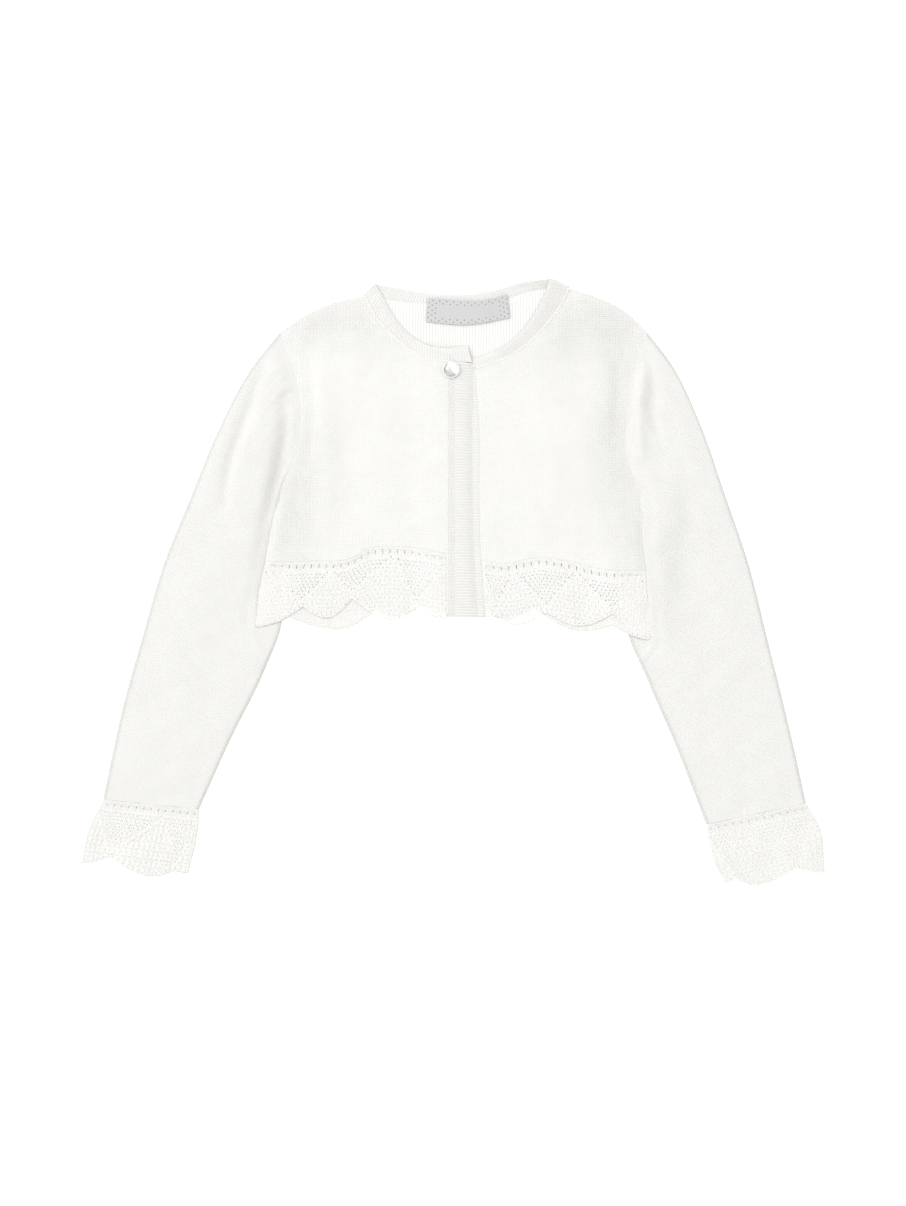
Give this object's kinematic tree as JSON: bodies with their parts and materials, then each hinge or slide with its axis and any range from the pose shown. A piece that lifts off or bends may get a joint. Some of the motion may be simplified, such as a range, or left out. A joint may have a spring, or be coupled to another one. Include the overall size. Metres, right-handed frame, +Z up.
{
  "type": "cropped cardigan laid flat",
  "caption": "Girl's cropped knitted cardigan with ribbed neck, gathered sleeves, scalloped lace hem and cuffs, buttoned at the neck, laid flat.",
  "frame": {"origin": "centre of the laid garment's outline, on the surface it lies on", "axes": "+Y towards the neck, +X towards the wearer's left sleeve, +Z up from the surface"},
  "size_m": [0.5212, 0.4256, 0.0093],
  "materials": {
    "back_knit": "fine off-white cotton stockinette, the purl side showing in the neck",
    "front_knit_right": "fine off-white cotton stockinette",
    "front_knit_left": "fine off-white cotton stockinette",
    "sleeve_knit_right": "fine off-white cotton stockinette, gathered at the cap",
    "sleeve_knit_left": "fine off-white cotton stockinette, gathered at the cap",
    "cuff_lace_right": "off-white openwork knit with a scalloped edge",
    "cuff_lace_left": "off-white openwork knit with a scalloped edge",
    "hem_lace_back": "off-white openwork knit with a scalloped edge",
    "hem_lace_right": "off-white openwork knit with a scalloped edge",
    "hem_lace_left": "off-white openwork knit with a scalloped edge",
    "band_rib_right": "fine off-white rib lying across the band",
    "band_rib_left": "fine off-white rib lying across the band",
    "neckband_rib": "fine off-white rib",
    "label_weave": "smooth pale grey woven tape with rows of small dark dots",
    "button_pearl": "glossy silvery pearl dome"
  },
  "bodies": {
    "root": {"back": "back_knit", "front_right": "front_knit_right", "front_left": "front_knit_left", "sleeve_right": "sleeve_knit_right", "sleeve_left": "sleeve_knit_left", "cuff_lace_right": "cuff_lace_right", "cuff_lace_left": "cuff_lace_left", "hem_lace_back": "hem_lace_back", "hem_lace_right": "hem_lace_right", "hem_lace_left": "hem_lace_left", "front_band_right": "band_rib_right", "front_band_left": "band_rib_left", "neckband": "neckband_rib", "label": "label_weave", "button": "button_pearl"}
  },
  "joints": []
}
